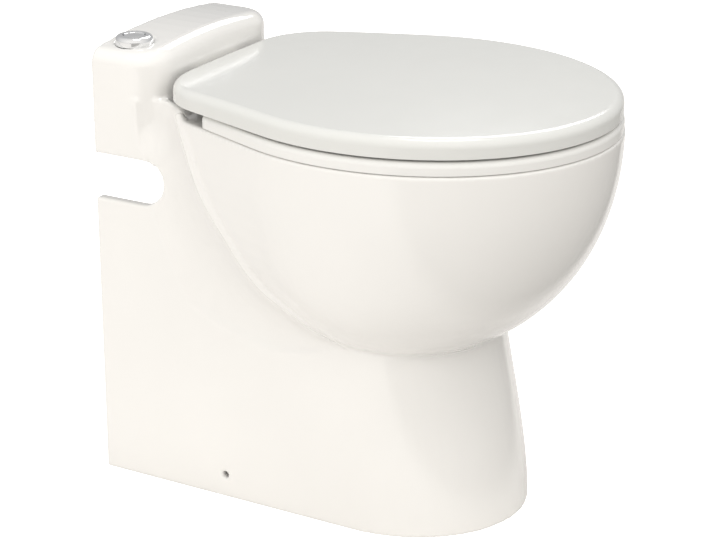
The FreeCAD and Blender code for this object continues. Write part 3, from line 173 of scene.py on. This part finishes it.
def softened(node, piece, extras, step, passes, share):
    """Copy of a CAD node on an even fine mesh, its edges eased as a thick glaze eases them."""
    joined = bmesh.new()
    joined.from_mesh(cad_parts[node].data)
    for extra in extras:
        joined.from_mesh(extra)
    shape = bpy.data.meshes.new(piece)
    joined.to_mesh(shape)
    joined.free()
    copy = bpy.data.objects.new(piece, shape)
    bpy.context.scene.collection.objects.link(copy)
    even = copy.modifiers.new("even_mesh", "REMESH")
    even.mode = "VOXEL"
    even.voxel_size = step
    ease = copy.modifiers.new("eased_edges", "SMOOTH")
    ease.factor = 0.5
    ease.iterations = passes
    thin = copy.modifiers.new("fewer_faces", "DECIMATE")
    thin.ratio = share
    evaluated = copy.evaluated_get(bpy.context.evaluated_depsgraph_get())
    mesh = bpy.data.meshes.new_from_object(evaluated)
    copy.modifiers.clear()
    copy.data = mesh
    mesh.shade_smooth()
    mesh.materials.clear()
    return copy


# The bowl's rear edge stands out as a round bead, from under the lid down to the pedestal.
edge_line = (
    (0.122, 0.146, 0.405, 0.7),
    (0.124, 0.142, 0.397, 0.9),
    (0.1285, 0.128, 0.369, 1.0),
    (0.1305, 0.119, 0.345, 1.0),
    (0.1325, 0.105, 0.321, 1.0),
    (0.134, 0.085, 0.297, 1.0),
    (0.133, 0.065, 0.268, 1.0),
    (0.1305, 0.044, 0.245, 1.0),
    (0.130, 0.021, 0.233, 0.9),
    (0.128, -0.002, 0.219, 0.8),
    (0.122, -0.023, 0.207, 0.6),
    (0.115, -0.040, 0.196, 0.4),
)
edge_radius = 0.0065
edges = []
for side in (-1, 1):
    edge_points = [(side * x, y, z, share) for x, y, z, share in edge_line]
    edges.append(bead_mesh(edge_points, edge_radius))

china_step = 0.002
china_passes = 4
china_share = 0.33
glass_coat = {"IOR": 1.55, "Coat Weight": 1.0, "Coat Roughness": 0.03}
china_glaze = finish("china_glaze", glass_coat, glaze_tones)
china = softened("ceramic_pan", "glazed_pan", edges, china_step, china_passes, china_share)
china.data.materials.append(china_glaze)
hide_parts("ceramic_pan")
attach(china, "base")


# Seat hinges: turned steel posts on round bases, steel pins through them, and studs that pass the
# deck and are drawn tight from below with nylon wing nuts over soft washers.

def steel_tones(place):
    grain = place.stretched(x=900.0, y=900.0, z=60.0).noise(scale=1.0)
    return {
        "Base Color": grain.tint((0.42, 0.42, 0.43), (0.58, 0.58, 0.59)),
        "Roughness": 0.22 + 0.16 * grain,
        "Normal": grain.relief(strength=0.08, depth=0.0002),
    }


def black_rubber_tones(place):
    bloom = place.noise(scale=120.0, detail=4.0)
    return {
        "Base Color": bloom.tint((0.012, 0.012, 0.013), (0.04, 0.04, 0.042)),
        "Roughness": 0.55 + 0.25 * bloom,
        "Normal": place.noise(scale=900.0).relief(strength=0.15, depth=0.0003),
    }


def nylon_tones(place):
    haze = place.noise(scale=60.0)
    return {
        "Base Color": haze.tint((0.66, 0.66, 0.63), (0.76, 0.76, 0.74)),
        "Roughness": 0.38 + 0.14 * haze,
        "Normal": place.noise(scale=700.0).relief(strength=0.08, depth=0.0003),
    }


bright_steel = finish("bright_steel", {"Metallic": 1.0}, steel_tones)
black_rubber = finish("black_rubber", {}, black_rubber_tones)
white_nylon = finish("white_nylon", {}, nylon_tones)
dress(bright_steel, "hinge_posts", "hinge_pins", "hinge_studs")
dress(black_rubber, "hinge_washers")
dress(white_nylon, "hinge_wing_nuts")


# Seat ring and lid: pressed thermoset, smooth and hard. The ring is as pale as the glaze. The lid,
# the same stuff, is painted a shade cooler and darker: painted shade for the dimmer light on its
# top. Soft buttons are pushed into their undersides.

def thermoset_tones(place):
    cloud = place.noise(scale=9.0)
    lid_from_z = 0.4155
    ring_up_to_z = 0.4145
    ring = place.along("Z").between(low=lid_from_z, high=ring_up_to_z)
    # Painted shade: everything above the ring is coloured darker and cooler, standing in for the dim
    # light on the lid's top
    lid_painted_shade = (0.715, 0.722, 0.700)
    ring_shade = (0.845, 0.842, 0.820)
    return {
        "Base Color": (0.2 * cloud + 0.8 * ring).tint(lid_painted_shade, ring_shade),
        "Roughness": 0.14 + 0.08 * place.noise(scale=45.0),
        "Normal": place.noise(scale=420.0).relief(strength=0.03, depth=0.0004),
    }


def pad_tones(place):
    bloom = place.noise(scale=90.0)
    return {
        "Base Color": bloom.tint((0.55, 0.55, 0.53), (0.66, 0.66, 0.64)),
        "Roughness": 0.5 + 0.2 * bloom,
    }


seat_thermoset = finish("seat_thermoset", {"Coat Weight": 0.2, "Coat Roughness": 0.1}, thermoset_tones)
pad_rubber = finish("pad_rubber", {}, pad_tones)
dress(seat_thermoset, "seat_ring", "toilet_lid")
dress(pad_rubber, "seat_bumpers", "lid_bumpers")


# Flush button: a chromed ring and cap on the hood's corner. A steel spring returns the cap, a
# gasket and a nylon nut hold the ring in the hood, and a small plastic switch housing sits below.

def chrome_tones(place):
    smear = place.noise(scale=70.0)
    return {
        "Base Color": smear.tint((0.86, 0.87, 0.88), (0.92, 0.92, 0.93)),
        "Roughness": 0.07 + 0.06 * place.noise(scale=160.0),
    }


def dark_plastic_tones(place):
    mottle = place.noise(scale=80.0)
    return {
        "Base Color": mottle.tint((0.02, 0.021, 0.023), (0.045, 0.046, 0.05)),
        "Roughness": 0.42 + 0.16 * mottle,
        "Normal": place.noise(scale=1100.0).relief(strength=0.12, depth=0.0003),
    }


def coil(node, piece):
    """Wound spring: a steel copy of the CAD node that rides on the base in its place."""
    spring = bpy.data.objects.new(piece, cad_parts[node].data.copy())
    bpy.context.scene.collection.objects.link(spring)
    spring.data.materials.clear()
    spring.data.materials.append(bright_steel)
    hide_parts(node)
    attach(spring, "base")
    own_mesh(spring)


polished_chrome = finish("polished_chrome", {"Metallic": 1.0}, chrome_tones)
dark_plastic = finish("dark_plastic", {}, dark_plastic_tones)
dress(polished_chrome, "button_bezel", "push_button")
coil("button_spring", "button_coil")
dress(black_rubber, "button_gasket")
dress(white_nylon, "button_nut")
dress(dark_plastic, "switch_housing")


# Macerator tank behind the bowl: a moulded plastic box that stands on rubber feet. Its cover lies
# on a rubber seal and is held down by steel screws.

def tank_tones(place):
    flow = place.stretched(x=12.0, y=12.0, z=3.0).noise(scale=1.0, detail=3.0)
    return {
        "Base Color": flow.tint((0.58, 0.58, 0.56), (0.68, 0.68, 0.66)),
        "Roughness": 0.45 + 0.15 * flow,
        "Normal": place.noise(scale=650.0).relief(strength=0.12, depth=0.0004),
    }


tank_plastic = finish("tank_plastic", {}, tank_tones)
dress(tank_plastic, "macerator_tank", "tank_cover")
dress(black_rubber, "tank_feet", "cover_seal")
dress(bright_steel, "cover_screws")


# Drive: an enamelled motor can over a wound core, a steel shaft in two bearings and a lip seal,
# the chopper blade in its perforated basket, and the plastic pump wheel at the bottom.

def enamel_tones(place):
    speck = place.noise(scale=260.0, detail=3.0)
    return {
        "Base Color": speck.tint((0.035, 0.038, 0.042), (0.06, 0.064, 0.07)),
        "Roughness": 0.3 + 0.12 * speck,
        "Normal": speck.relief(strength=0.1, depth=0.0004),
    }


def core_tones(place):
    sheets = place.stretched(x=0.0, y=0.0, z=1.0).noise(scale=1400.0)
    return {
        "Base Color": sheets.tint((0.10, 0.07, 0.05), (0.22, 0.16, 0.12)),
        "Roughness": 0.45 + 0.2 * sheets,
        "Normal": sheets.relief(strength=0.3, depth=0.0003),
    }


def cast_metal_tones(place):
    skin = place.noise(scale=300.0, detail=4.0)
    return {
        "Base Color": skin.tint((0.45, 0.45, 0.46), (0.60, 0.60, 0.61)),
        "Roughness": 0.32 + 0.2 * skin,
        "Normal": skin.relief(strength=0.12, depth=0.0003),
    }


def pipe_tones(place):
    cloud = place.noise(scale=40.0)
    return {
        "Base Color": cloud.tint((0.26, 0.27, 0.28), (0.33, 0.34, 0.35)),
        "Roughness": 0.35 + 0.15 * cloud,
        "Normal": place.noise(scale=600.0).relief(strength=0.08, depth=0.0003),
    }


motor_enamel = finish("motor_enamel", {"Coat Weight": 0.2}, enamel_tones)
motor_core = finish("motor_core", {"Metallic": 0.6}, core_tones)
cast_metal = finish("cast_metal", {"Metallic": 1.0}, cast_metal_tones)
pipe_plastic = finish("pipe_plastic", {}, pipe_tones)
dress(motor_enamel, "motor_can")
dress(motor_core, "motor_stator")
dress(cast_metal, "motor_rotor")
dress(bright_steel, "motor_shaft", "upper_bearing", "lower_bearing", "chopper_blade", "strainer_basket")
dress(black_rubber, "shaft_seal")
dress(pipe_plastic, "pump_impeller", "pump_casing")


# Discharge: a plastic riser pipe, a check valve with a rubber flap on a steel pin, and an elbow
# whose spigot leaves through the side notch. A rubber sleeve with two steel bands joins the pan to
# the tank.

dress(pipe_plastic, "riser_pipe", "check_valve_body", "discharge_elbow")
dress(black_rubber, "check_flap", "inlet_sleeve")
dress(bright_steel, "flap_pin", "sleeve_clamps")


# Controls on the cover: a closed plastic box with its board and gland, the motor's capacitor in a
# metal can, and the pressure switch on its dip tube.

def board_tones(place):
    track = place.noise(scale=520.0, detail=1.0)
    return {
        "Base Color": track.between(low=0.45, high=0.55).tint((0.01, 0.07, 0.03), (0.03, 0.14, 0.06)),
        "Roughness": 0.3 + 0.2 * track,
    }


circuit_board = finish("circuit_board", {}, board_tones)
dress(dark_plastic, "control_box", "cable_gland", "pressure_switch")
dress(circuit_board, "control_board")
dress(cast_metal, "capacitor")
dress(pipe_plastic, "pressure_tube")


# Flush water: a nylon solenoid valve on an enamelled bracket, its steel plunger and spring, the
# strainer in its inlet, and the moulded rubber pipe, clipped at both ends, that feeds the nozzle
# in the bowl's rear wall.

def pipe_rubber_tones(place):
    bloom = place.noise(scale=110.0, detail=3.0)
    return {
        "Base Color": bloom.tint((0.085, 0.085, 0.088), (0.14, 0.14, 0.145)),
        "Roughness": 0.5 + 0.2 * bloom,
        "Normal": place.noise(scale=800.0).relief(strength=0.12, depth=0.0003),
    }


pipe_rubber = finish("pipe_rubber", {}, pipe_rubber_tones)
dress(white_nylon, "solenoid_body", "inlet_filter", "flush_nozzle")
dress(dark_plastic, "solenoid_coil")
dress(bright_steel, "valve_plunger", "pipe_clips")
coil("plunger_spring", "plunger_coil")
dress(pipe_rubber, "flush_pipe")
dress(motor_enamel, "valve_bracket")


# Floor and light: a plain white studio, brighter and warmer on the left. The floor is darker in
# front of the bowl, which the glaze mirrors, and shows as plain white to the camera.

floor_size = 12.0
bpy.ops.mesh.primitive_plane_add(size=floor_size, location=(0, 0, 0))
floor = bpy.context.object
floor.name = "studio_floor"


def floor_tones(place):
    dark_up_to_y = -0.31
    pale_from_y = -0.21
    behind = place.along("Y").between(low=dark_up_to_y, high=pale_from_y)
    dust = 0.04 * place.noise(scale=3.0)
    seen = place.add("ShaderNodeLightPath", {}, {}, "Is Camera Ray")
    return {
        "Base Color": (behind + dust).tint((0.42, 0.412, 0.40), (0.90, 0.885, 0.865)),
        "Emission Color": seen.tint((0.0, 0.0, 0.0), (0.9, 0.9, 0.9)),
    }


floor_plain = {
    "Roughness": 0.9,
    "Specular IOR Level": 0.0,
    "Emission Strength": 1.0,
}
floor.data.materials.append(finish("studio_floor", floor_plain, floor_tones))

scene = bpy.context.scene
scene.view_settings.view_transform = "Standard"
world = bpy.data.worlds.new("studio")
world.use_nodes = True
studio = world.node_tree.nodes
sky = studio["Background"]
look = Tone(studio, studio.new("ShaderNodeTexCoord").outputs["Generated"])
seen = look.add("ShaderNodeLightPath", {}, {}, "Is Camera Ray")
left_side = (-0.80, -0.33, 0.5)
facing = {"operation": "DOT_PRODUCT"}
leftness = look.add("ShaderNodeVectorMath", facing, {0: look, 1: left_side}, "Value")
left_share = leftness.between(low=-0.5, high=0.9) * (1 - seen)
right_glow = 0.51
left_gain = 0.50
seen_gain = 0.49
glow = right_glow + left_gain * left_share + seen_gain * seen
white = (1.0, 1.0, 1.0)
warm_white = (1.0, 0.975, 0.94)
world.node_tree.links.new(left_share.tint(white, warm_white).socket, sky.inputs["Color"])
world.node_tree.links.new(glow.socket, sky.inputs["Strength"])
scene.world = world


def softbox(name, place, size, power, color):
    """Square soft light that faces the middle of the object."""
    middle = Vector((0.0, 0.0, 0.25))
    light = bpy.data.lights.new(name, "AREA")
    light.size = size
    light.energy = power
    light.color = color
    lamp = bpy.data.objects.new(name, light)
    lamp.location = place
    lamp.rotation_euler = (middle - Vector(place)).to_track_quat("-Z", "Y").to_euler()
    scene.collection.objects.link(lamp)
    return lamp


key = softbox("key_light", place=(-2.2, 1.5, 1.0), size=2.2, power=9.0, color=(1.0, 0.975, 0.945))
key.visible_glossy = False
softbox("top_light", place=(0.1, -0.1, 2.8), size=0.9, power=13.0, color=white)
card = softbox("edge_card", place=(1.6, 0.35, 1.85), size=1.0, power=16.0, color=white)
card.visible_diffuse = False
fill = softbox("front_fill", place=(-1.5, -1.6, 1.6), size=1.5, power=14.0, color=(1.0, 0.98, 0.955))
fill.visible_glossy = False


# Camera: a long lens from the front left, a little above the lid. Its focal length is given in
# pixels of the photo's width.

azimuth = math.radians(-60.0)
elevation = math.radians(20.6)
distance = 2.335
target = Vector((0.0055, 0.0195, 0.225))
photo_width = 716
focal_pixels = 2300.0
film_width = 36.0
level = math.cos(elevation)
back = Vector((math.sin(azimuth) * level, -math.cos(azimuth) * level, math.sin(elevation)))
lens = bpy.data.cameras.new("photo_camera")
lens.sensor_width = film_width
lens.lens = film_width * focal_pixels / photo_width
camera = bpy.data.objects.new("photo_camera", lens)
camera.location = target + back * distance
camera.rotation_euler = (-back).to_track_quat("-Z", "Y").to_euler()
scene.collection.objects.link(camera)
scene.camera = camera
